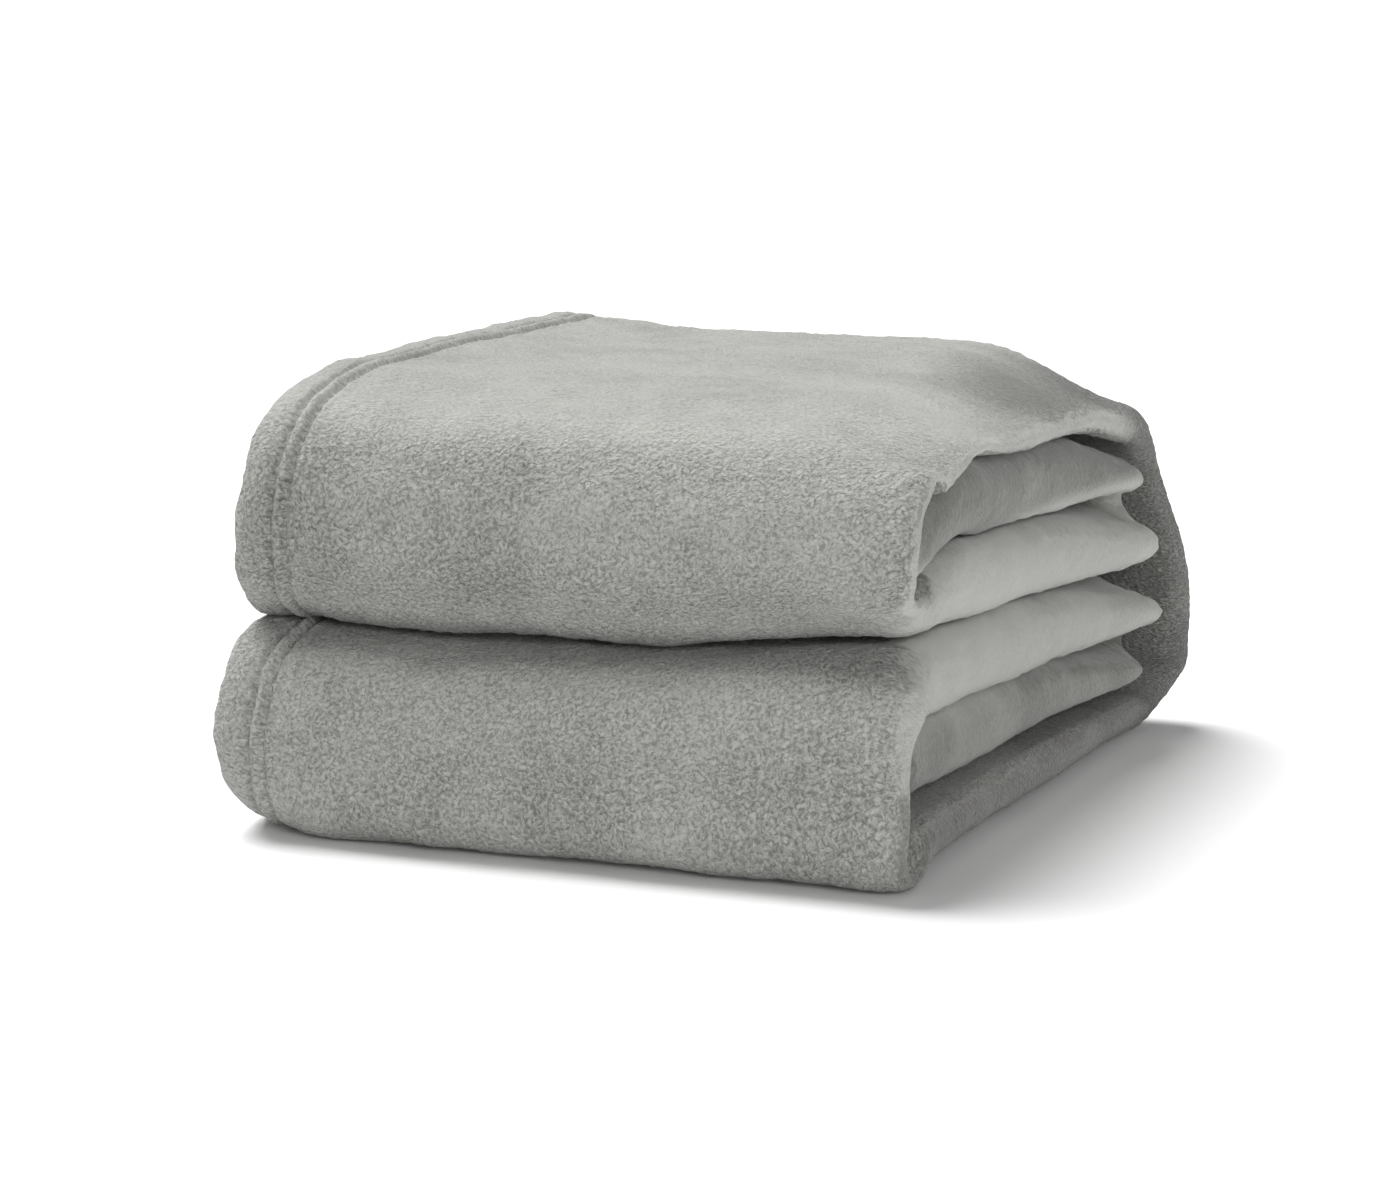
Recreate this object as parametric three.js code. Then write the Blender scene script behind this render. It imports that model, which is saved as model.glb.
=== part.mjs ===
// A folded throw blanket. One sheet of plush cloth is folded across its width into a long
// strip, and both ends of the strip are rolled inwards and closed like a book. X runs along
// the plies, with the sewn hem at -X, the front bulges face -Y, the spine is at +Y and Z is up.
// The cloth is split into leaves where it folds, so that the book can open about its spine.
import * as THREE from "three";

// Driving dimensions, in millimetres.
const WIDTH = 212; // hem end to folded end, along X
const DEPTH = 264; // front of the lower bulge to the outside of the spine, along Y
const COVER_LEAF = 16; // thickness of the outer wrap: bottom, spine and top
const ROLL_LEAF = 23.6; // thickness of each of the two leaves rolled inside a half
const GAP = 0.3; // clearance between leaves that lie on each other
const UPPER_SETBACK = 12; // how far the upper bulge stands back from the lower one
const ROLL_INSET = 3; // how far the rolled leaves stand back inside the cover at each end
const BACK_ROOM = 3; // free space between the rolled leaves and the spine
const EDGE_ROUND = 2; // rounding of the soft edges at both ends
const CORNER_ROUND = 1; // the same on the quarter-round corners of the spine
const HEM_WIDTH = 20; // sewn hem along the -X end
const STITCH_INSET = 13; // first row of stitches, from the hem's edge
const STITCH_SPACING = 5; // between the two rows
const THREAD_D = 0.9; // diameter of the sewing thread
const STITCH_START_ANGLE = THREE.MathUtils.degToRad(122); // where a row comes out of the crease
const STITCH_FLOOR_ANGLE = THREE.MathUtils.degToRad(248); // where a row meets what it lies on

// What follows from them. Heights h are counted from the outside of a half towards the crease.
const HALF = COVER_LEAF + 2 * ROLL_LEAF + 2.5 * GAP;
const HEIGHT = 2 * HALF;
const HALF_SOLID = HALF - GAP / 2;
const BULGE_R = HALF_SOLID / 2;
const POCKET_R = (HALF_SOLID - ROLL_LEAF - COVER_LEAF) / 2;
const POCKET_H = COVER_LEAF + POCKET_R;
const TURN_R = ROLL_LEAF + GAP / 2;
const TURN_H = COVER_LEAF + GAP + TURN_R;
const INNER_H = COVER_LEAF + GAP;
const RETURN_H = INNER_H + ROLL_LEAF + GAP;
const LEFT = -WIDTH / 2;
const RIGHT = WIDTH / 2;
const HEM_RIGHT = LEFT + HEM_WIDTH;
const SPINE_OUT = DEPTH / 2;
const SPINE_IN = SPINE_OUT - COVER_LEAF;
const TURN_Y = SPINE_IN - BACK_ROOM - TURN_R;
const THREAD_OFFSET = GAP + THREAD_D / 2;

const ARC_STEPS = 10; // straight pieces in each round stretch of an outline
const EDGE_STEPS = 3; // steps in a rounded edge
const SAME_PLACE = 1e-6; // two points of an outline this close are one
const THREAD_SIDES = 8;
const THREAD_STEP = 5; // length of one straight piece of thread

const plush = new THREE.MeshStandardMaterial({ color: 0xa3a29c, roughness: 0.95, metalness: 0 });
const plushInside = new THREE.MeshStandardMaterial({ color: 0xaaa9a3, roughness: 0.95, metalness: 0 });
const hemPlush = new THREE.MeshStandardMaterial({ color: 0x9c9b95, roughness: 0.95, metalness: 0 });
const thread = new THREE.MeshStandardMaterial({ color: 0x8b8a84, roughness: 0.7, metalness: 0 });

// Turns an extrusion so that its outline lies in the Y-Z plane and its depth runs along X.
const ALONG_X = new THREE.Quaternion().setFromRotationMatrix(
  new THREE.Matrix4().makeBasis(
    new THREE.Vector3(0, 1, 0),
    new THREE.Vector3(0, 0, 1),
    new THREE.Vector3(1, 0, 0),
  ),
);

// An outline as plain points, with no two next to each other in the same place.
function plainOutline(outline) {
  const points = outline.getPoints(ARC_STEPS);
  return new THREE.Shape(points.filter((p, i) => p.distanceTo(points.at(i - 1)) > SAME_PLACE));
}

// A leaf of cloth: a Y-Z outline carried from one X to another, its end edges rounded.
function leaf(name, outline, from, to, round, material) {
  const geometry = new THREE.ExtrudeGeometry(plainOutline(outline), {
    depth: to - from - 2 * round,
    bevelEnabled: true,
    bevelThickness: round,
    bevelSize: round,
    bevelOffset: -round,
    bevelSegments: EDGE_STEPS,
  });
  const mesh = new THREE.Mesh(geometry, material);
  mesh.name = name;
  mesh.quaternion.copy(ALONG_X);
  mesh.position.x = from + round;
  return mesh;
}

// A flat stretch of cloth between two Y and two heights.
function slab(y0, y1, h0, h1) {
  return new THREE.Shape().moveTo(y0, h0).lineTo(y1, h0).lineTo(y1, h1).lineTo(y0, h1).closePath();
}

// The front bulge: from the cover, round the front and back over the rolled leaf, with the
// pocket that the rolled leaf's free end lies in. The cover may be carried on to coverEnd.
function bulge(frontY, coverEnd) {
  const y = frontY + BULGE_R;
  const outline = new THREE.Shape();
  if (coverEnd !== undefined) outline.moveTo(coverEnd, COVER_LEAF).lineTo(coverEnd, 0);
  outline.absarc(y, BULGE_R, BULGE_R, -Math.PI / 2, Math.PI / 2, true);
  outline.absarc(y, POCKET_H, POCKET_R, Math.PI / 2, (3 * Math.PI) / 2, false);
  return outline.closePath();
}

// The rolled leaf, whose free end is round and lies inside the bulge's pocket.
function innerLeaf(frontY) {
  const y = frontY + BULGE_R;
  const r = ROLL_LEAF / 2;
  const outline = new THREE.Shape().moveTo(TURN_Y - GAP, INNER_H).lineTo(TURN_Y - GAP, INNER_H + 2 * r);
  outline.absarc(y, INNER_H + r, r, Math.PI / 2, (3 * Math.PI) / 2, false);
  return outline.closePath();
}

// The turn at the back, where the return leaf becomes the rolled leaf.
function backTurn() {
  const outline = new THREE.Shape();
  outline.absarc(TURN_Y, TURN_H, TURN_R, -Math.PI / 2, Math.PI / 2, false);
  return outline.closePath();
}

// A row of stitches: round thread along a Y-height route at one X.
function stitchRow(name, route, x) {
  const section = new THREE.Shape(
    Array.from({ length: THREAD_SIDES }, (_, i) => {
      const angle = (i / THREAD_SIDES) * 2 * Math.PI;
      return new THREE.Vector2(Math.cos(angle), Math.sin(angle)).multiplyScalar(THREAD_D / 2);
    }),
  );
  const steps = Math.ceil(route.getLength() / THREAD_STEP);
  const points = route.getSpacedPoints(steps).map((p) => new THREE.Vector3(0, p.x, p.y));
  const geometry = new THREE.ExtrudeGeometry(section, {
    extrudePath: new THREE.CatmullRomCurve3(points),
    steps,
    bevelEnabled: false,
  });
  const mesh = new THREE.Mesh(geometry, thread);
  mesh.name = name;
  mesh.position.x = x;
  return mesh;
}

const STITCH_ROWS = [
  ["outer", LEFT + STITCH_INSET],
  ["inner", LEFT + STITCH_INSET + STITCH_SPACING],
];

// One half of the book, lying on its cover leaf with the crease above it.
function foldedHalf(half, coverName, frontY, stitchRoute) {
  const group = new THREE.Group();
  const bulgeY = frontY + BULGE_R;
  const rollLeft = LEFT + ROLL_INSET;
  const rollRight = RIGHT - ROLL_INSET;
  group.add(
    leaf(coverName, slab(bulgeY + GAP, SPINE_IN - GAP, 0, COVER_LEAF), HEM_RIGHT + GAP, RIGHT, EDGE_ROUND, plush),
    leaf(`${half}_front_fold`, bulge(frontY), HEM_RIGHT + GAP, RIGHT, EDGE_ROUND, plush),
    leaf(`${half}_hem`, bulge(frontY, SPINE_IN - GAP), LEFT, HEM_RIGHT, EDGE_ROUND, hemPlush),
    leaf(`${half}_rolled_leaf`, innerLeaf(frontY), rollLeft, rollRight, EDGE_ROUND, plushInside),
    leaf(`${half}_back_turn`, backTurn(), rollLeft, rollRight, EDGE_ROUND, plushInside),
    leaf(
      `${half}_return_leaf`,
      slab(bulgeY + GAP, TURN_Y - GAP, RETURN_H, RETURN_H + ROLL_LEAF),
      rollLeft,
      rollRight,
      EDGE_ROUND,
      plushInside,
    ),
  );
  STITCH_ROWS.forEach(([row, x]) => group.add(stitchRow(`${half}_hem_stitch_${row}`, stitchRoute, x)));
  return group;
}

// The quarter-round stretch of cloth at the spine's outer edge, about the hinge line.
function spineCorner(name) {
  const outline = new THREE.Shape();
  outline.absarc(SPINE_IN, COVER_LEAF, COVER_LEAF, -Math.PI / 2, 0, false);
  outline.lineTo(SPINE_IN, COVER_LEAF);
  return leaf(name, outline.closePath(), LEFT, RIGHT, CORNER_ROUND, plush);
}

const lowerFront = -DEPTH / 2;
const upperFront = lowerFront + UPPER_SETBACK;
const threadR = BULGE_R + THREAD_OFFSET;

const lowerRoute = new THREE.Path();
lowerRoute.absarc(lowerFront + BULGE_R, BULGE_R, threadR, STITCH_START_ANGLE, STITCH_FLOOR_ANGLE, false);
const lowerHalf = foldedHalf("lower", "bottom_cover_leaf", lowerFront, lowerRoute);
lowerHalf.add(spineCorner("bottom_corner_leaf"));

const upperRoute = new THREE.Path();
upperRoute.absarc(upperFront + BULGE_R, BULGE_R, threadR, STITCH_START_ANGLE, 1.5 * Math.PI, false);
upperRoute.lineTo(SPINE_IN - GAP, -THREAD_OFFSET);
const upperHalf = foldedHalf("upper", "top_cover_leaf", upperFront, upperRoute);
upperHalf.add(spineCorner("top_corner_leaf"));
// The upper half is the lower one turned over: its heights count down from the top.
upperHalf.scale.z = -1;
upperHalf.position.z = HEIGHT;

const spine = new THREE.Group();
const spineSlab = slab(SPINE_IN, SPINE_OUT, COVER_LEAF + GAP, HEIGHT - COVER_LEAF - GAP);
spine.add(
  leaf("spine_leaf", spineSlab, HEM_RIGHT + GAP, RIGHT, EDGE_ROUND, plush),
  leaf("spine_hem", spineSlab, LEFT, HEM_RIGHT, EDGE_ROUND, hemPlush),
);
const spineRoute = new THREE.Path()
  .moveTo(SPINE_OUT + THREAD_OFFSET, COVER_LEAF + GAP)
  .lineTo(SPINE_OUT + THREAD_OFFSET, HEIGHT - COVER_LEAF - GAP);
STITCH_ROWS.forEach(([row, x]) => spine.add(stitchRow(`spine_hem_stitch_${row}`, spineRoute, x)));

const throwBlanket = new THREE.Group();
throwBlanket.add(lowerHalf, spine, upperHalf);

export default throwBlanket;
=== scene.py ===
"""A folded throw blanket of plush cloth: six plies across, rolled in from both ends and
closed like a book, with a twin-stitched hem up its left end. Metres, in the frame's axes."""

import math

import bpy
import numpy as np
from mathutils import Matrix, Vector


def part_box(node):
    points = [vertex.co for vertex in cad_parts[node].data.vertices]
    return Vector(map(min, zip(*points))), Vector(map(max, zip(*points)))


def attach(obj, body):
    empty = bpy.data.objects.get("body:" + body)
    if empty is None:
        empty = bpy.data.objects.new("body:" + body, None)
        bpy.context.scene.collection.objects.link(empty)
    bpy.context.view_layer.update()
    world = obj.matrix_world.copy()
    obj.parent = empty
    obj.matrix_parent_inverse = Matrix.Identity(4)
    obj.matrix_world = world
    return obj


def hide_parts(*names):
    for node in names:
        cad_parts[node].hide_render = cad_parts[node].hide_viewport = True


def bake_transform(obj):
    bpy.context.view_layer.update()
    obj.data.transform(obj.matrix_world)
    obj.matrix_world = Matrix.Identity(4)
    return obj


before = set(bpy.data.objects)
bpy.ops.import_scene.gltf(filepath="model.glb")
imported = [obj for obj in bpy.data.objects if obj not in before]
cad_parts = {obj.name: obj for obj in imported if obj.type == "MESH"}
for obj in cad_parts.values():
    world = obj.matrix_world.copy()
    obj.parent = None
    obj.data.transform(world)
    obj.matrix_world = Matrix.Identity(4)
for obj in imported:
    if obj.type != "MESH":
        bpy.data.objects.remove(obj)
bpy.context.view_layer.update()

# --- Studio -------------------------------------------------------------------------------
# The blanket lies on a plain pale floor under soft, wide studio light. The camera stands
# in front of it and to the right, a little above it, and looks at its middle.

CAMERA_AZIMUTH = math.radians(22.2)
CAMERA_ELEVATION = math.radians(10.6)
CAMERA_DISTANCE = 1.256
CAMERA_TARGET = Vector((-0.0074, 0.004, 0.0543))
CAMERA_LENS = 102.9  # millimetres, on a 36 mm sensor
FLOOR_SIZE = 40.0
SKY_POWER = 4.6
ROOM_LIGHT = 0.22


def aim(obj, target):
    """Turns obj so that its -Z axis points at target, with Y up."""
    obj.rotation_euler = (Vector(target) - obj.location).to_track_quat("-Z", "Y").to_euler()


camera = bpy.data.objects.new("camera", bpy.data.cameras.new("camera"))
bpy.context.scene.collection.objects.link(camera)
camera.data.lens = CAMERA_LENS
camera.data.sensor_width = 36
camera.data.clip_end = 100
toward_camera = Vector((
    math.sin(CAMERA_AZIMUTH) * math.cos(CAMERA_ELEVATION),
    -math.cos(CAMERA_AZIMUTH) * math.cos(CAMERA_ELEVATION),
    math.sin(CAMERA_ELEVATION),
))
camera.location = CAMERA_TARGET + CAMERA_DISTANCE * toward_camera
aim(camera, CAMERA_TARGET)
bpy.context.scene.camera = camera
bpy.context.scene.view_settings.view_transform = "Standard"


def soft_light(name, place, target, size, power):
    """A square area light at place, facing target."""
    light = bpy.data.lights.new(name, "AREA")
    light.size = size
    light.energy = power
    lamp = bpy.data.objects.new(name, light)
    bpy.context.scene.collection.objects.link(lamp)
    lamp.location = place
    aim(lamp, target)


soft_light("right_fill", (1.5, -1.9, 0.8), (0.08, 0, 0.06), 0.9, 26)
soft_light("front_fill", (-1.2, -2.2, 0.9), (0, 0, 0.06), 1.2, 5)

sky_panel = bpy.data.lights.new("sky_panel", "SUN")
sky_panel.energy = SKY_POWER
sky_panel.angle = math.radians(45)
overhead = bpy.data.objects.new("sky_panel", sky_panel)
bpy.context.scene.collection.objects.link(overhead)
overhead.location = (-0.8, 0.38, 1.5)
aim(overhead, (0, 0, 0))

world = bpy.data.worlds.new("studio")
world.use_nodes = True
background = world.node_tree.nodes["Background"]
background.inputs["Color"].default_value = (1, 1, 1, 1)
background.inputs["Strength"].default_value = ROOM_LIGHT
bpy.context.scene.world = world

half_floor = FLOOR_SIZE / 2
floor_mesh = bpy.data.meshes.new("floor")
floor_corners = [
    (-half_floor, -half_floor, 0),
    (half_floor, -half_floor, 0),
    (half_floor, half_floor, 0),
    (-half_floor, half_floor, 0),
]
floor_mesh.from_pydata(floor_corners, [], [(0, 1, 2, 3)])
floor = bpy.data.objects.new("floor", floor_mesh)
bpy.context.scene.collection.objects.link(floor)
paper = bpy.data.materials.new("white_paper")
paper.use_nodes = True
paper_shader = paper.node_tree.nodes["Principled BSDF"]
paper_shader.inputs["Base Color"].default_value = (0.9, 0.9, 0.9, 1)
paper_shader.inputs["Roughness"].default_value = 0.9
paper_shader.inputs["Specular IOR Level"].default_value = 0.1
floor_mesh.materials.append(paper)

# --- Folded strip -------------------------------------------------------------------------
# The throw is one hemmed sheet of knitted plush. It is folded in six plies across its
# width, and the strip runs from the spine over a cover and round a front bulge, then back
# and forth inside. Its leaves lie where the plain solids of the frame do.

cover_low, cover_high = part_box("bottom_cover_leaf")
return_low, return_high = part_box("lower_return_leaf")
spine_low, spine_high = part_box("spine_leaf")
turn_low, turn_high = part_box("lower_back_turn")
hem_low, hem_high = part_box("lower_hem")
top_low, top_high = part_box("top_cover_leaf")
LEFT, RIGHT = hem_low.x, cover_high.x
WIDTH = RIGHT - LEFT
HEIGHT = top_high.z
COVER_T = cover_high.z - cover_low.z
ROLL_T = return_high.z - return_low.z
HALF = return_high.z
SPINE_IN, SPINE_OUT = spine_low.y, spine_high.y
TURN_Y = turn_low.y
TURN_R = (turn_high.z - turn_low.z) / 2
BULGE_R = HALF / 2
FRONTS = {"lower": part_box("lower_front_fold")[0].y, "upper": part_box("upper_front_fold")[0].y}
BULGE_SHARE = 0.72  # share of the bulge's inside that a rolled leaf would fill
FREE_END = {"lower": 0.019, "upper": 0.001}  # how far short of that it stops
FINE_STEP = 0.0017  # spacing of the mesh rows along the covers
COARSE_STEP = 0.0024  # spacing of the mesh rows along the scrolls
CORNER_IN = 0.014  # inner radius of the cloth's turn at the spine's outer edges
END_ROUND = 0.009  # length over which the strip's free end thins to nothing

PLIES = 6
CLOTH = 0.8 / PLIES  # thickness of one ply, as a share of the strip's
# How far the folds reach out at both ends, as shares of the strip's thickness.
RIGHT_FOLDS = {"outer": 0.36, "middle": 0.22, "inner": 0.08}
LEFT_FOLDS = {"wide": 0.15, "small": 0.08}
HEM_ROWS = (0.013, 0.018)  # the two rows of stitches, from the hem's edge
HEM_COLUMNS = 44  # mesh columns over the hem
FACE_COLUMNS = 112  # mesh columns over the rest of the outer face
OUTER_TURN_COLUMNS = 25
STITCH_LENGTH = 0.0030


def smooth(x):
    """Rises from 0 at x = 0 to 1 at x = 1 without a corner: 3 x^2 - 2 x^3."""
    x = np.clip(x, 0, 1)
    return x * x * (3 - 2 * x)


def bell(x, centre, width):
    """A smooth bump of height 1 at centre: exp(-((x - centre) / width)^2)."""
    return np.exp(-(((x - centre) / width) ** 2))


def straight(start, end, normal, thick, step):
    """Points on a straight stretch of path, the end left out: place, outward normal, thickness."""
    start, end = np.array(start), np.array(end)
    n = max(2, math.ceil(np.linalg.norm(end - start) / step))
    f = np.linspace(0, 1, n, endpoint=False)[:, None]
    return np.hstack([start + f * (end - start), np.tile(normal, (n, 1)), np.full((n, 1), thick)])


def bend(centre, outer, first, last, thick0, thick1, step):
    """Points on a round stretch, whose outer face is an arc of radius outer about centre; the
    thickness changes evenly from thick0 to thick1, and the path runs halfway through it."""
    n = max(6, math.ceil(abs(last - first) * outer / step))
    f = np.linspace(0, 1, n, endpoint=False)
    angle = first + f * (last - first)
    thick = thick0 + f * (thick1 - thick0)
    normal = np.stack([np.cos(angle), np.sin(angle)], 1)
    place = np.array(centre) + normal * (outer - thick / 2)[:, None]
    return np.hstack([place, normal, thick[:, None]])


def strip_path(half):
    """The strip's path in one half, in Y and height from the half's outside, from the middle
    of the spine to the free end. Columns: y, h, normal y, normal h, thickness, distance."""
    bulge_y = FRONTS[half] + BULGE_R
    free_y = bulge_y - (BULGE_R - COVER_T) * BULGE_SHARE + FREE_END[half]
    corner = (SPINE_IN - CORNER_IN, COVER_T + CORNER_IN)
    spine_y = SPINE_IN + COVER_T / 2
    return_h = HALF - ROLL_T / 2
    turn_h = HALF - TURN_R
    rolled_h = turn_h - TURN_R + ROLL_T / 2
    cover = np.vstack([
        straight((spine_y, HEIGHT / 2), (spine_y, corner[1]), (1, 0), COVER_T, FINE_STEP),
        bend(corner, CORNER_IN + COVER_T, 0, -math.pi / 2, COVER_T, COVER_T, FINE_STEP),
        straight((corner[0], COVER_T / 2), (bulge_y, COVER_T / 2), (0, -1), COVER_T, FINE_STEP),
        bend((bulge_y, BULGE_R), BULGE_R, -math.pi / 2, -1.5 * math.pi, COVER_T, ROLL_T, FINE_STEP),
    ])
    scroll = np.vstack([
        straight((bulge_y, return_h), (TURN_Y, return_h), (0, 1), ROLL_T, COARSE_STEP),
        bend((TURN_Y, turn_h), TURN_R, math.pi / 2, -math.pi / 2, ROLL_T, ROLL_T, COARSE_STEP),
        straight((TURN_Y, rolled_h), (free_y, rolled_h), (0, -1), ROLL_T, COARSE_STEP),
        [[free_y, rolled_h, 0, -1, ROLL_T]],
    ])
    path = np.vstack([cover, scroll])
    distance = np.r_[0, np.cumsum(np.linalg.norm(np.diff(path[:, :2], axis=0), axis=1))]
    left_over = distance[-1] - distance
    from_end = 1 - np.clip(left_over / END_ROUND, 0, 1)
    path[:, 4] *= np.sqrt(np.clip(1 - from_end**2, 0.01, 1))
    return np.column_stack([path, distance]), len(cover)


def ply_outline():
    """The outline of the folded cloth's cross-section, as a closed ribbon. A point's place
    across the blanket is base + share * thickness, and depth is its place through the strip,
    from 0 on the outside to 1. Columns: base, share, depth, distance across, is it outside.
    The plies run right and left in turn and join in half-ellipses at the ends."""
    level = [(2 * k + 1) / (2 * PLIES) for k in range(PLIES)]
    right = (RIGHT, -RIGHT_FOLDS["outer"] - CLOTH / 2)
    rows = []  # base, share, depth, normal share, normal depth

    def ply(k, start, end, places):
        """A flat ply at level k, with points at places from 0 at start to 1 at end. Its front
        faces out when it runs right, and in when it runs left."""
        way = 1 if end[0] > start[0] else -1
        f = np.array(places)[:, None]
        base = start[0] + f * (end[0] - start[0])
        share = start[1] + f * (end[1] - start[1])
        column = np.ones_like(f)
        rows.append(np.hstack([base, share, level[k] * column, 0 * column, -way * column]))

    def turn(k0, k1, centre, reach, side, sign, n):
        """A half-ellipse of n points from level k0 to k1 about centre, reaching out by reach
        to side; its front is its outer face when sign is 1, and its inner face when -1."""
        angle = np.linspace(-np.pi / 2, np.pi / 2, n + 2)[1:-1, None]
        down = 1 if k1 > k0 else -1
        radius = abs(level[k1] - level[k0]) / 2
        middle = (level[k1] + level[k0]) / 2
        base = np.full_like(angle, centre[0])
        share = centre[1] + side * reach * np.cos(angle)
        depth = middle + down * radius * np.sin(angle)
        rows.append(np.hstack([
            base, share, depth, sign * side * np.cos(angle), sign * down * np.sin(angle),
        ]))

    hem_in = (LEFT, CLOTH / 2)
    wide_left = (LEFT + 0.002, LEFT_FOLDS["wide"] + CLOTH / 2)
    small_left = (LEFT + 0.005, LEFT_FOLDS["small"] + CLOTH / 2)
    inner_hem = (LEFT + 0.009, 0.15)
    hem_part = 0.024 / WIDTH
    visible = np.r_[
        np.linspace(0, hem_part, HEM_COLUMNS + 1)[:-1],
        np.linspace(hem_part, 1, FACE_COLUMNS),
    ]
    plain = np.array([0, 0.02, 0.1, 0.2, 0.3, 0.4, 0.5, 0.6, 0.7, 0.79, 0.86, 0.92, 0.97, 1])
    ply(0, hem_in, right, visible)
    turn(0, 5, right, RIGHT_FOLDS["outer"], 1, 1, OUTER_TURN_COLUMNS)
    ply(5, right, wide_left, 1 - plain[::-1])
    turn(5, 3, wide_left, LEFT_FOLDS["wide"], -1, 1, 9)
    ply(3, wide_left, right, plain)
    turn(3, 2, right, RIGHT_FOLDS["inner"], 1, -1, 7)
    ply(2, right, small_left, 1 - plain[::-1])
    turn(2, 1, small_left, LEFT_FOLDS["small"], -1, 1, 7)
    ply(1, small_left, right, plain)
    turn(1, 4, right, RIGHT_FOLDS["middle"], 1, 1, 9)
    ply(4, right, inner_hem, 1 - plain[::-1])
    line = np.vstack(rows)
    outside = np.zeros(len(line))
    outside[: len(visible) + OUTER_TURN_COLUMNS] = 1
    thick = (COVER_T + ROLL_T) / 2
    flat = np.column_stack([line[:, 0] + line[:, 1] * thick, line[:, 2] * thick])
    across = np.r_[0, np.cumsum(np.linalg.norm(np.diff(flat, axis=0), axis=1))]

    def face(side, keep):
        """One face of the cloth: the line moved by half a ply's thickness to side."""
        part = line[keep]
        return np.column_stack([
            part[:, 0],
            part[:, 1] + side * part[:, 3] * CLOTH / 2,
            part[:, 2] + side * part[:, 4] * CLOTH / 2,
            across[keep],
            outside[keep] * (side > 0),
        ])

    def round_edge(at, way, turned):
        """The rounded cut edge at one end of the cloth, from its front to its back."""
        base, share, depth, _, normal = line[at]
        angle = np.linspace(0, np.pi, 7)[1:-1]
        n = len(angle)
        return np.column_stack([
            np.full(n, base),
            share + way * np.sin(angle) * CLOTH / 2,
            depth + turned * normal * np.cos(angle) * CLOTH / 2,
            np.full(n, across[at]),
            np.full(n, float(at == 0)),
        ])

    everything = np.arange(len(line))
    first_ply = np.arange(len(visible))
    thinned = np.r_[  # the hidden back of the outer ply needs fewer points
        first_ply[:HEM_COLUMNS:6],
        first_ply[HEM_COLUMNS::14],
        everything[len(visible):],
    ]
    return np.vstack([
        face(1, everything),
        round_edge(-1, -1, 1),
        face(-1, thinned)[::-1],
        round_edge(0, -1, -1),
    ])


def ripples(a, b, wavelength, seed, waves=26):
    """A smooth random field over two distances: plane waves of about one wavelength, in
    random directions and phases, added and scaled to a spread of about 1."""
    random = np.random.default_rng(seed)
    total = np.zeros(np.broadcast(a, b).shape)
    for _ in range(waves):
        way = random.uniform(0, 2 * np.pi)
        k = 2 * np.pi / wavelength * random.uniform(0.65, 1.5)
        total += np.sin(k * (a * np.cos(way) + b * np.sin(way)) + random.uniform(0, 2 * np.pi))
    return total / math.sqrt(waves / 2)


CREASE = HEIGHT / 2
INNER_TOP = HEIGHT - COVER_T
FRONT = FRONTS["lower"]
DEPTH = SPINE_OUT - FRONT
PRESSED_CREASE = 0.0655  # height of the crease between the halves, once they settle
FOLDED_END = 0.062  # length over which the stack gets lower towards the folded end
TOP_SAG = 0.0135  # how far the top's front edge droops
CORNER_SAG = 0.0085  # how far the top's back corner droops over the folded end
FLOOR_SINK = 0.8  # share of its height that the lower front's underside loses
BELLY = 0.0045  # how far the lower front bulges forwards
SPINE_SPREAD = 0.0125  # how far the spine spreads sideways at the folded end
FRONT_SPREAD = 0.004  # the same for the lower front


def squared(y, z, centre_y, centre_z, power_low, power_high):
    """Makes a round bulge squarer: in front of its centre, a circle of radius BULGE_R becomes
    |dy|^n + |dz|^n = BULGE_R^n, with one power below the centre and one above. Points
    inside move outwards less, by the square of their distance from the centre."""
    dy, dz = np.minimum(y - centre_y, 0), z - centre_z
    radius = np.hypot(dy, dz)
    safe = np.maximum(radius, 1e-9)
    power = np.where(dz < 0, power_low, power_high)
    fuller = (np.abs(dy / safe) ** power + np.abs(dz / safe) ** power) ** (-1 / power)
    grow = 1 + (fuller - 1) * np.clip(radius / BULGE_R, 0, 1) ** 2
    in_front = y < centre_y
    return np.where(in_front, centre_y + dy * grow, y), np.where(in_front, centre_z + dz * grow, z)


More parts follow.
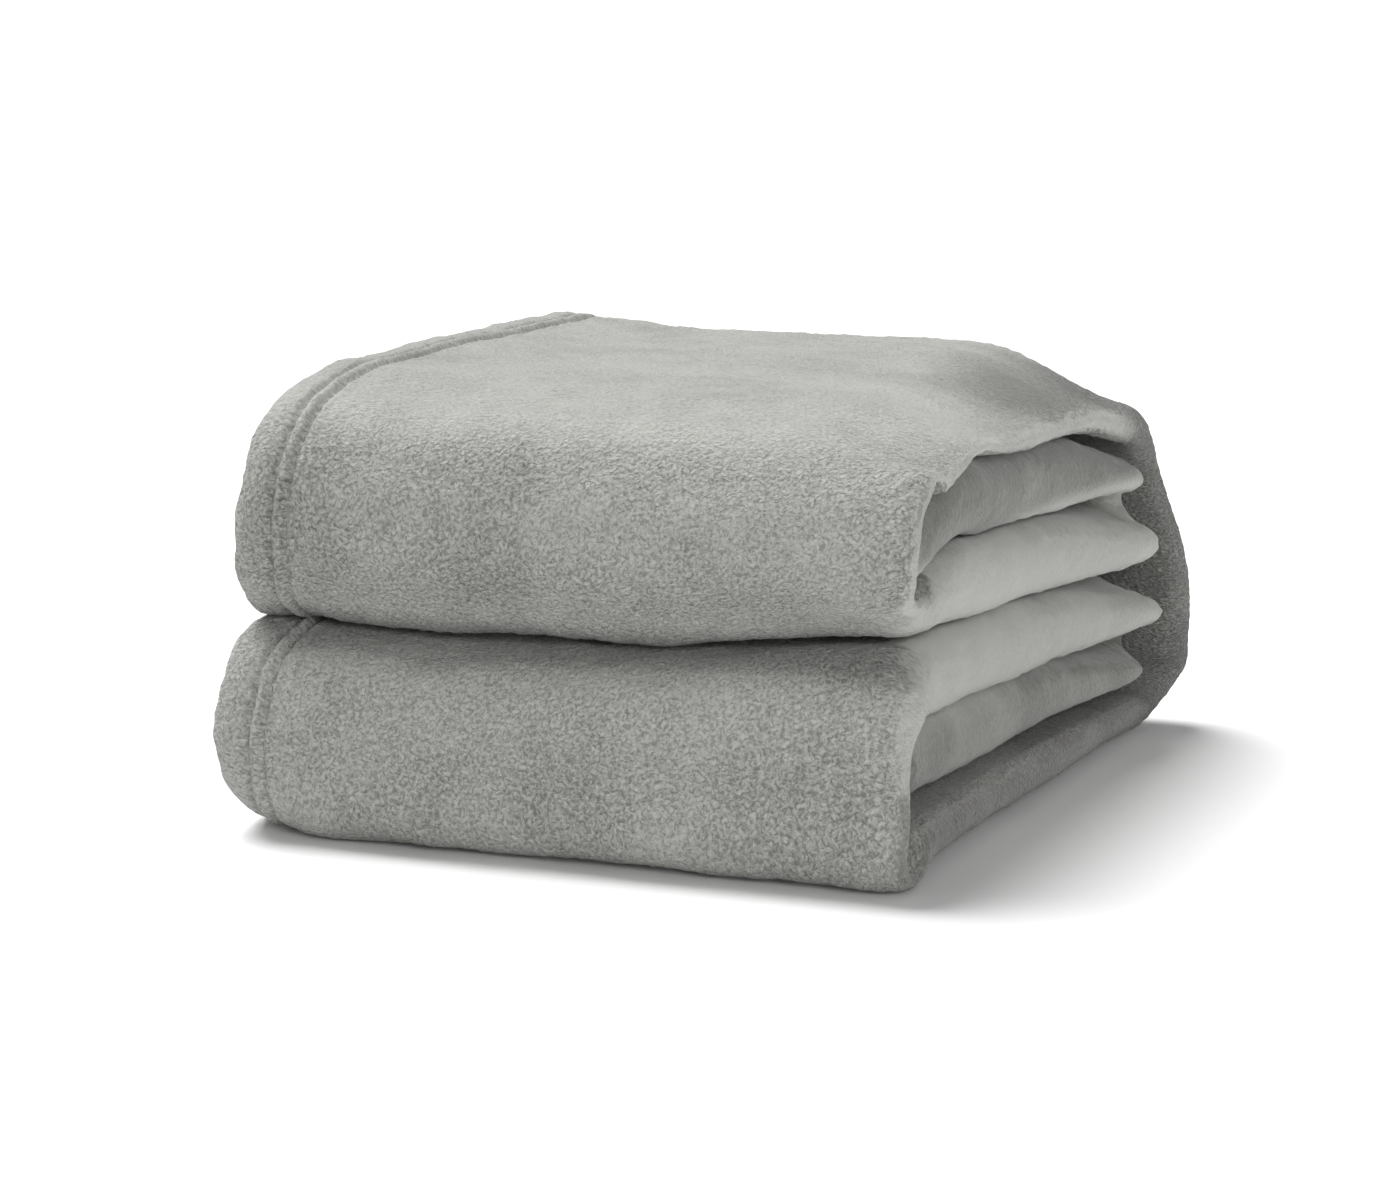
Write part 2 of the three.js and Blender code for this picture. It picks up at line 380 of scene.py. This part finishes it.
def pressed(points, half):
    """Settles the straight stack into its soft shape. The bulges are squared where they rest
    on the floor and on each other. Heights are stretched between the floor, the crease, the
    cover and the top by amounts that fall towards the back and the folded end. The top sags
    at the front and at its back corner over the folded end, the lower front sinks to the
    floor, and the spine spreads at the folded end."""
    x, y, z = points[..., 0], points[..., 1], points[..., 2]
    centre_y = FRONTS[half] + BULGE_R
    off_hem = smooth((x - LEFT) / 0.03)
    if half == "lower":
        y, z = squared(y, z, centre_y, BULGE_R, 2.0 + 1.2 * off_hem, 2.3)
    else:
        y, z = squared(y, z, centre_y, HEIGHT - BULGE_R, 3.2, 2.0)
    back = np.clip((y - FRONT) / DEPTH, 0, 1)
    right = smooth((x - (RIGHT - FOLDED_END)) / FOLDED_END)
    crease = PRESSED_CREASE - 0.0015 * bell(x, -0.045, 0.035) + 0.0035 * smooth((x - 0.01) / 0.08)
    crease = crease * (1 - 0.26 * right * back**1.3 - 0.02 * back)
    held_up = 1 - 0.85 * smooth((x - 0.02) / 0.08)
    crease = crease - 0.0056 * smooth((-0.055 - y) / 0.055) * held_up
    left = 1 - smooth((x - LEFT) / 0.06)
    squashed = right * (0.005 + 0.083 * back**1.3)
    inner = INNER_TOP * (1.008 + 0.028 * left - squashed - 0.036 * (back**2 - 0.3))
    inner = inner + 0.003 * right * bell(y, -0.065, 0.022)
    low = np.clip(z / CREASE, 0, 1)
    mid = np.clip((z - CREASE) / (INNER_TOP - CREASE), 0, 1)
    top = np.maximum(z - INNER_TOP, 0)
    new_z = low * crease + mid * (inner - crease) + top
    new_z = new_z - TOP_SAG * smooth((-0.05 - y) / 0.085) * smooth((z - CREASE) / 0.034)
    corner = smooth((x - 0.052) / 0.054) * smooth((y - 0.045) / 0.075)
    new_z = new_z - CORNER_SAG * corner * smooth((z - 0.07) / 0.05)
    sink = FLOOR_SINK * smooth((-0.086 - y) / 0.03) * bell(new_z, 0, 0.014)
    new_z = new_z * (1 - sink * off_hem * (z < CREASE))
    y = y - BELLY * bell(z, 0.024, 0.02) * smooth((-0.1 - y) / 0.03)
    side = smooth((x - 0.02) / 0.085)
    off_floor = smooth(z / 0.03)
    low_spine = smooth((HEIGHT - 0.012 - z) / 0.06)
    low_front = smooth((-0.09 - y) / 0.03) * smooth((CREASE - z) / 0.01)
    spread = SPINE_SPREAD * side * back**3 * low_spine * (0.35 + 0.65 * off_floor)
    spread = spread + FRONT_SPREAD * side**2 * low_front * off_floor
    return np.stack([x + spread, y, new_z], -1)


def grid_normals(grid):
    """Unit normals of a grid that closes in its second direction: the cross product of the
    differences between neighbours both ways."""
    along = np.gradient(grid, axis=0)
    around = np.roll(grid, -1, axis=1) - np.roll(grid, 1, axis=1)
    normal = np.cross(around, along)
    return normal / np.maximum(np.linalg.norm(normal, axis=-1, keepdims=True), 1e-12)


RIM_CLOSE = {"upper": 0.62, "lower": 0.15}  # how far the cover's rim closes at the folded end
LIP_CLOSE = 0.6  # the same in front of the bulge's centre
TIP_THIN = 0.48  # how much the rolled ends thin towards their back tips
ROLLED_INSET = {"upper": 0.001, "lower": 0.006}  # how far the rolled leaf's end stands back
ROLLED_REACH = {"upper": 0.012, "lower": 0.0}  # how far the rolled leaf's end swells forwards
HEM_RIM = 0.012  # length over which the hem's edge rounds over
HEM_DROP = 0.0055


def relief(from_hem, across, s, y):
    """How far the outer face stands out. The hem's edge and the ridge between the two rows of
    stitches are raised, the rows themselves are grooves that dip at each stitch, and ripples
    of four wavelengths make the cloth soft. Those at the front run along the cloth."""
    groove = sum(bell(from_hem, row, 0.001) for row in HEM_ROWS)
    stitch = 0.85 + 0.15 * np.sin(2 * np.pi * s / STITCH_LENGTH)
    puff = bell(from_hem, HEM_ROWS[0] / 2, 0.005)
    between = bell(from_hem, sum(HEM_ROWS) / 2, 0.0014)
    beyond = bell(from_hem - HEM_ROWS[1], 0.004, 0.003)
    raised = 0.0008 * puff + 0.0007 * between - 0.0017 * groove * stitch - 0.0004 * beyond
    soft = 0.00032 * ripples(across, s, 0.085, 3) + 0.00014 * ripples(across, s, 0.02, 5)
    wrinkles = 0.00022 * ripples(across * 0.3, s, 0.013, 6) * smooth((-0.09 - y) / 0.02)
    fine = 0.00011 * ripples(across, s, 0.0042, 8)
    return raised + soft + wrinkles + fine


def strip_grid(half):
    """One half's strip as a grid of points, path steps by outline points, with its normals and
    its flat distances. Each outline point is set off from the path along the path's normal
    by its depth, thinned towards the folded end, then pressed, then given its relief. The
    lowest points are kept above the floor by (z + sqrt(z^2 + 0.001^2)) / 2."""
    path, cover_rows = strip_path(half)
    base, share, depth, across, outside = ply_outline().T
    path_y, path_h, normal_y, normal_h, thick, distance = (column[:, None] for column in path.T)
    s = distance * (1 if half == "upper" else -1)
    is_cover = smooth((cover_rows - np.arange(len(path))) / 40)[:, None]
    is_scroll = 1 - is_cover
    x = base + share * thick
    # The cover's rim closes over the rolls.
    end = smooth((x - (RIGHT - 0.042)) / 0.042)
    back = np.clip((path_y - FRONT) / DEPTH, 0, 1)
    along = smooth((np.abs(s) - HALF * 0.7) / 0.05)
    in_front = smooth((FRONTS[half] + BULGE_R - path_y) / 0.012)
    droop = RIM_CLOSE[half] * (1 - 0.6 * back**2) * (1 - in_front)
    pinch = 1 - (droop + LIP_CLOSE * in_front) * along * is_cover * end
    sunk = np.where(in_front > 0, 1 - in_front, 1)
    offset = thick / 2 - depth * thick * pinch - (1 - pinch) * thick * sunk
    # The rolled ends taper to the back, stand in from the cover, and swell forwards.
    tip = smooth((path_y - 0.03) / 0.07) * smooth((x - (RIGHT - 0.04)) / 0.04) * is_scroll
    offset = offset * (1 - TIP_THIN * tip)
    in_roll = smooth((x - 0.045) / 0.055) * is_scroll
    rolled = smooth((HALF - ROLL_T - path_h) / 0.012 + 0.5)
    slope = -0.005 * smooth((path_y - 0.02) / 0.07) + 0.02 * smooth((path_y - 0.092) / 0.016)
    inset = in_roll * (0.0015 + slope)
    inset = inset + in_roll * rolled * ROLLED_INSET[half]
    reach = rolled * is_scroll * smooth((x - 0.06) / 0.03) * smooth((-0.05 - path_y) / 0.03)
    y = path_y + normal_y * offset - reach * ROLLED_REACH[half]
    h = path_h + normal_h * offset
    # The hem's edge rounds over.
    rim = np.clip(1 - (x - LEFT) / HEM_RIM, 0, 1)
    rounded = HEM_DROP * (1 - np.sqrt(1 - rim**2)) * (1 - depth) * is_cover
    y = y - normal_y * rounded
    h = h - normal_h * rounded
    z = HEIGHT - h if half == "upper" else h
    grid = pressed(np.stack([x - inset, y, z], -1), half)
    flip = -1 if half == "upper" else 1
    normals = grid_normals(grid) * flip
    full = 0.25 + 0.75 * (thick > 0.004)
    move = outside * relief(x - LEFT, across, s, y) * full
    grid = grid + normals * move[..., None]
    if half == "lower":
        z = grid[..., 2]
        grid[..., 2] = (z + np.sqrt(z * z + 1e-6)) / 2
    normals = grid_normals(grid) * flip
    normals[-1] = (0, -1, 0)
    return grid, normals, across, s, cover_rows


# --- Plush ----------------------------------------------------------------------------------
# Warm grey flannel: a knitted back with a dense brushed pile, about two millimetres long. The
# pile parts into a fine crackle where the cloth is stretched over a bulge and lies smooth on
# the rolled ends. It looks darker in random patches where it was brushed the other way, and
# painted shade and painted highlights are added to the same tone.


def plush_material(name, dark, light):
    """Pile from the piece's own flat map, in metres, and its two attributes. 'nap_and_painted_light'
    is how light the pile lies in random patches, with painted shade and painted highlights
    added, and 'grain' is how far it parts. Fine stretched noise is the parted pile and its
    clumps, which also move the surface as bump, and wide noise the strokes it was brushed in."""
    material = bpy.data.materials.new(name)
    material.use_nodes = True
    nodes, links = material.node_tree.nodes, material.node_tree.links
    shader = nodes["Principled BSDF"]
    shader.inputs["Roughness"].default_value = 0.92
    shader.inputs["Specular IOR Level"].default_value = 0.12
    shader.inputs["Sheen Weight"].default_value = 0.30
    shader.inputs["Sheen Roughness"].default_value = 0.4
    cloth = nodes.new("ShaderNodeUVMap")
    cloth.uv_map = "flat"

    def attribute(wanted):
        node = nodes.new("ShaderNodeAttribute")
        node.attribute_name = wanted
        return node.outputs["Fac"]

    def noise(stretch, turn, scale, detail, distortion):
        mapping = nodes.new("ShaderNodeMapping")
        mapping.inputs["Scale"].default_value = stretch
        mapping.inputs["Rotation"].default_value = (0, 0, turn)
        texture = nodes.new("ShaderNodeTexNoise")
        texture.inputs["Scale"].default_value = scale
        texture.inputs["Detail"].default_value = detail
        texture.inputs["Distortion"].default_value = distortion
        links.new(cloth.outputs["UV"], mapping.inputs["Vector"])
        links.new(mapping.outputs["Vector"], texture.inputs["Vector"])
        return texture.outputs["Fac"]

    def ramp(value, low, high, start, stop):
        mapper = nodes.new("ShaderNodeMapRange")
        mapper.inputs["From Min"].default_value = low
        mapper.inputs["From Max"].default_value = high
        mapper.inputs["To Min"].default_value = start
        mapper.inputs["To Max"].default_value = stop
        links.new(value, mapper.inputs["Value"])
        return mapper.outputs["Result"]

    def combine(operation, a, b):
        node = nodes.new("ShaderNodeMath")
        node.operation = operation
        links.new(a, node.inputs[0])
        links.new(b, node.inputs[1])
        return node.outputs["Value"]

    # Scales are per metre of cloth, so 1080 gives tufts of about a millimetre.
    crackle = noise((0.8, 1.25, 1), 0.3, 1080, 3.0, 0.7)
    clumps = noise((0.7, 1.3, 1), -0.4, 420, 1.5, 0.8)
    strokes = noise((0.8, 1.2, 1), 0.5, 26, 3.0, 1.0)
    grain = attribute("grain")
    parted = combine("MULTIPLY", ramp(crackle, 0.37, 0.6, -0.46, 0.3), grain)
    clumped = combine("MULTIPLY", ramp(clumps, 0.3, 0.7, -0.09, 0.09), ramp(grain, 0, 1, 0.2, 1))
    brushed = ramp(strokes, 0.3, 0.7, -0.13, 0.13)
    # The tone adds the pile's random patches, with painted shade and painted highlights, to the
    # parted pile, its clumps and the brushed strokes.
    tone = combine("ADD", attribute("nap_and_painted_light"), combine("ADD", parted, combine("ADD", clumped, brushed)))
    mix = nodes.new("ShaderNodeMix")
    mix.data_type = "RGBA"
    mix.inputs["A"].default_value = dark
    mix.inputs["B"].default_value = light
    links.new(tone, mix.inputs["Factor"])
    links.new(mix.outputs["Result"], shader.inputs["Base Color"])
    height = combine("ADD", crackle, combine("MULTIPLY", clumps, ramp(grain, 0, 1, 0.6, 1.2)))
    bump = nodes.new("ShaderNodeBump")
    bump.inputs["Distance"].default_value = 0.0024
    links.new(ramp(grain, 0, 1, 0.08, 0.95), bump.inputs["Strength"])
    links.new(height, bump.inputs["Height"])
    links.new(bump.outputs["Normal"], shader.inputs["Normal"])
    return material


PLUSH_DARK = (0.150, 0.149, 0.138, 1)
PLUSH_LIGHT = (0.400, 0.402, 0.378, 1)
plush = plush_material("plush", PLUSH_DARK, PLUSH_LIGHT)

# --- Covers and scrolls ---------------------------------------------------------------------
# Each half is one strip of six plies. Its first part is the cover, from the middle of the
# spine round the front bulge to the crease. The rest is the scroll rolled inside it, which
# keeps its shape.


def pile_lay(name, points, normals, across, s):
    """How the pile lies at each point: 'nap_and_painted_light', from dark to light, in soft random
    patches of the pile, with painted light on faces turned up, on the rolled ends and on the
    covers' rims, and painted shade in the crease, on the spine's end, where the top dips over
    the rolls and beside the folded end, on the top and bottom rolls, at the rolls' back turn
    and at the folded end's lowest part; and 'grain', full on the fronts and least on the rolls."""
    x, y, z = points[..., 0], points[..., 1], points[..., 2]
    facing_end = smooth((normals[..., 0] - 0.35) / 0.45) * smooth((x - 0.05) / 0.02)
    patches = 0.05 * ripples(across, s, 0.055, 21) + 0.025 * ripples(across, s, 0.018, 22)
    # Painted light: faces turned up are made lighter.
    painted_top_light = smooth((normals[..., 2] - 0.5) / 0.4)
    # Painted shade in the crease between the halves, at the front.
    painted_crease_shade = bell(z, 0.0625, 0.004) * smooth((-0.08 - y) / 0.02)
    # Painted shade on the spine's end at the folded end.
    painted_spine_end_shade = smooth((x - 0.05) / 0.04) * smooth((y - 0.092) / 0.018) * smooth((0.114 - z) / 0.012)
    # Painted shade on the lowest part of the folded end.
    painted_low_end_shade = facing_end * smooth((0.038 - z) / 0.008)
    # Painted shade where the top dips over the rolls.
    painted_hollow_shade = bell(x, 0.084, 0.024) * smooth((y + 0.03) / 0.05) * smooth((0.13 - y) / 0.04)
    painted_hollow_shade = painted_hollow_shade * smooth((normals[..., 2] - 0.4) / 0.3)
    nap_and_painted_light = 0.74 + patches + 0.12 * painted_top_light
    nap_and_painted_light = nap_and_painted_light - 0.42 * painted_crease_shade - 0.46 * painted_spine_end_shade - 0.28 * painted_low_end_shade - 0.6 * painted_hollow_shade
    grain = 1 - 0.45 * smooth((z - 0.112) / 0.012)
    if name.endswith("scroll"):
        # Painted light on the rolled ends, with painted shade on the lowest roll, a painted shadow
        # under the cover's rim on the highest roll, and painted shade at the back turn.
        lowest = smooth((0.042 - z) / 0.006)
        highest = smooth((z - 0.084) / 0.008)
        turn = smooth((y - 0.096) / 0.008)
        on_roll = smooth((x - 0.085) / 0.012)
        nap_and_painted_light = nap_and_painted_light + on_roll * (0.32 - 0.36 * lowest - 1.0 * highest - 0.5 * turn)
        grain = grain - 0.7 * on_roll
    else:
        # Painted highlight on the cover's rim where it rolls over at the folded end, with painted
        # shade where that rim runs low.
        rim = facing_end * smooth((0.1 - y) / 0.02)
        # Painted shade on the top beside the folded end's rim.
        painted_top_end_shade = smooth((x - 0.05) / 0.04) * smooth((y + 0.01) / 0.05) * smooth((z - 0.1) / 0.008)
        nap_and_painted_light = nap_and_painted_light + rim * (0.26 - 0.5 * smooth((0.034 - z) / 0.008))
        nap_and_painted_light = nap_and_painted_light - 0.3 * painted_top_end_shade * (1 - rim)
        grain = grain - 0.55 * rim
    return {"nap_and_painted_light": nap_and_painted_light, "grain": np.clip(grain, 0.1, 1)}


def end_cap():
    """Triangles that fill the outline, numbered in its own order: the front and the back of the
    cloth are laced together from one end to the other, by their distances across it."""
    across = ply_outline()[:, 3]
    front, back = 0, len(across) - 1
    turn_back = int(np.argmax(np.diff(across) <= 0)) + 1
    triangles = []
    while front < turn_back - 1 or back > turn_back:
        if back == turn_back or (front < turn_back - 1 and across[front + 1] < across[back - 1]):
            triangles.append((front, front + 1, back))
            front = front + 1
        else:
            triangles.append((front, back - 1, back))
            back = back - 1
    return np.array(triangles)


def cloth_piece(name, half, grid, normals, across, s, rows):
    """A mesh of the rows of a strip's grid: four-sided faces between neighbours, closed round
    the outline, and an end cap at both ends. The flat distances become the map 'flat'."""
    points = grid[rows]
    steps, count = points.shape[:2]
    i = np.arange(steps - 1)[:, None]
    j = np.arange(count)[None, :]
    k = (j + 1) % count
    here, ahead = i * count, (i + 1) * count
    quads = np.stack([here + j, here + k, ahead + k, ahead + j], -1).reshape(-1, 4)
    first = end_cap()
    last = (steps - 1) * count + first
    if half == "upper":
        faces = quads[:, ::-1].tolist() + first.tolist() + last[:, ::-1].tolist()
    else:
        faces = quads.tolist() + first[:, ::-1].tolist() + last.tolist()
    mesh = bpy.data.meshes.new(name)
    mesh.from_pydata(points.reshape(-1, 3).tolist(), [], faces)
    mesh.polygons.foreach_set("use_smooth", np.ones(len(mesh.polygons), bool))
    corner = np.empty(len(mesh.loops), np.int32)
    mesh.loops.foreach_get("vertex_index", corner)
    u = np.broadcast_to(across, points.shape[:2]).reshape(-1)[corner]
    v = np.broadcast_to(s[rows], points.shape[:2]).reshape(-1)[corner]
    flat_map = mesh.uv_layers.new(name="flat")
    flat_map.uv.foreach_set("vector", np.column_stack([u, v]).astype(np.float32).ravel())
    for attribute, values in pile_lay(name, points, normals[rows], across, s[rows]).items():
        layer = mesh.attributes.new(attribute, "FLOAT", "POINT")
        layer.data.foreach_set("value", values.astype(np.float32).ravel())
    mesh.normals_split_custom_set_from_vertices(normals[rows].reshape(-1, 3).tolist())
    mesh.materials.append(plush)
    piece = bpy.data.objects.new(name, mesh)
    bpy.context.scene.collection.objects.link(piece)
    return piece


def blend_cover(piece, half):
    """Bakes the piece's transform into its mesh, in the same way for either half."""
    if half == "lower":
        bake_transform(piece)
    else:
        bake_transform(piece)


strips = {}
for half in ("lower", "upper"):
    strips[half] = strip_grid(half)
for part in (0, 1):  # the points and the normals of the row where the halves meet
    meeting = (strips["lower"][part][0] + strips["upper"][part][0]) / 2
    strips["lower"][part][0] = strips["upper"][part][0] = meeting
for half in ("lower", "upper"):
    grid, normals, across, s, cover_rows = strips[half]
    strip = (half, grid, normals, across, s)
    cover = cloth_piece(f"{half}_cover", *strip, slice(0, cover_rows + 1))
    scroll = cloth_piece(f"{half}_scroll", *strip, slice(cover_rows, None))
    blend_cover(cover, half)
    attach(scroll, f"{half}_half")
    face = "top" if half == "upper" else "bottom"
    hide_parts(f"{face}_cover_leaf", f"{face}_corner_leaf", f"{half}_front_fold", f"{half}_hem")
    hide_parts(f"{half}_return_leaf", f"{half}_back_turn", f"{half}_rolled_leaf")
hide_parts("spine_leaf", "spine_hem")

# --- Hem stitches ---------------------------------------------------------------------------
# The hem is the cloth's cut edge turned under and held by a twin-needle seam: two rows of
# lockstitches in grey polyester thread, about three millimetres long, pulled into the pile.

STITCH_GAP = 0.0006
THREAD_R = 0.0003
THREAD_SIDES = 8
RINGS = 7


def stitch_row(grid, normals, s, column, first, last):
    """Capsules along one column of a strip's grid, from path distance first to last. Ring r of
    a stitch lies at share r of its length, has the radius THREAD_R * sqrt(1 - (2 r - 1)^4),
    and dips below the pile at both ends by half the thread."""
    line, up, at = grid[:, column], normals[:, column], np.abs(s[:, 0])
    count = int((last - first) / STITCH_LENGTH)
    begin = first + STITCH_LENGTH * np.arange(count)
    r = np.linspace(0, 1, RINGS)
    place = begin[:, None] + r * (STITCH_LENGTH - STITCH_GAP)
    centre = np.stack([np.interp(place, at, line[:, k]) for k in range(3)], -1)
    lift = np.stack([np.interp(place, at, up[:, k]) for k in range(3)], -1)
    lift = lift / np.linalg.norm(lift, axis=-1, keepdims=True)
    ahead = np.gradient(centre, axis=1)
    side = np.cross(ahead, lift)
    side = side / np.linalg.norm(side, axis=-1, keepdims=True)
    radius = THREAD_R * np.sqrt(np.maximum(1 - np.abs(2 * r - 1) ** 4, 0.03))
    centre = centre - lift * (THREAD_R * (0.3 + 0.9 * (2 * r - 1) ** 2))[None, :, None]
    angle = 2 * np.pi * np.arange(THREAD_SIDES) / THREAD_SIDES
    spoke = np.cos(angle)[:, None] * lift[:, :, None] + np.sin(angle)[:, None] * side[:, :, None]
    return centre[:, :, None] + radius[None, :, None, None] * spoke


def stitch_piece(name, points):
    """One mesh of capsules from an array of stitches by rings by sides, each closed at its ends."""
    count = len(points)
    ring = np.arange(RINGS - 1)[:, None]
    around = np.arange(THREAD_SIDES)[None, :]
    after = (around + 1) % THREAD_SIDES
    quads = np.stack([
        ring * THREAD_SIDES + around,
        ring * THREAD_SIDES + after,
        (ring + 1) * THREAD_SIDES + after,
        (ring + 1) * THREAD_SIDES + around,
    ], -1).reshape(-1, 4)
    near = np.arange(THREAD_SIDES)
    far = near + (RINGS - 1) * THREAD_SIDES
    per = RINGS * THREAD_SIDES
    starts = np.arange(count)[:, None, None] * per
    sides = (starts + quads).reshape(-1, 4)
    near_caps = starts[:, :, 0] + near[::-1]
    far_caps = starts[:, :, 0] + far
    mesh = bpy.data.meshes.new(name)
    faces = sides.tolist() + near_caps.tolist() + far_caps.tolist()
    mesh.from_pydata(points.reshape(-1, 3).tolist(), [], faces)
    mesh.polygons.foreach_set("use_smooth", np.ones(len(mesh.polygons), bool))
    mesh.materials.append(thread)
    piece = bpy.data.objects.new(name, mesh)
    bpy.context.scene.collection.objects.link(piece)
    return piece


thread = bpy.data.materials.new("thread")
thread.use_nodes = True
thread_shader = thread.node_tree.nodes["Principled BSDF"]
thread_shader.inputs["Roughness"].default_value = 0.7
thread_shader.inputs["Sheen Weight"].default_value = 0.2
twist = thread.node_tree.nodes.new("ShaderNodeTexWave")
twist.inputs["Scale"].default_value = 900
twist.inputs["Distortion"].default_value = 1.5
thread_place = thread.node_tree.nodes.new("ShaderNodeTexCoord")
thread.node_tree.links.new(thread_place.outputs["Object"], twist.inputs["Vector"])
strands = thread.node_tree.nodes.new("ShaderNodeMix")
strands.data_type = "RGBA"
strands.inputs["A"].default_value = (0.13, 0.13, 0.12, 1)
strands.inputs["B"].default_value = (0.24, 0.24, 0.225, 1)
thread.node_tree.links.new(twist.outputs["Fac"], strands.inputs["Factor"])
thread.node_tree.links.new(strands.outputs["Result"], thread_shader.inputs["Base Color"])

for half in ("lower", "upper"):
    grid, normals, across, s, cover_rows = strips[half]
    outline = ply_outline()
    seen = int(np.argmax(outline[:, 0] >= RIGHT - 1e-6))  # the columns of the outer face
    for row_name, inset in zip(("outer", "inner"), HEM_ROWS):
        from_row = outline[:seen, 0] + outline[:seen, 1] * COVER_T - LEFT - inset
        column = int(np.argmin(np.abs(from_row)))
        crease = abs(float(s[cover_rows, 0]))
        points = stitch_row(grid, normals, s, column, 0.002, crease - 0.004)
        row = stitch_piece(f"{half}_stitches_{row_name}", points)
        blend_cover(row, half)
        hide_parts(f"{half}_hem_stitch_{row_name}")
        if half == "upper":
            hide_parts(f"spine_hem_stitch_{row_name}")
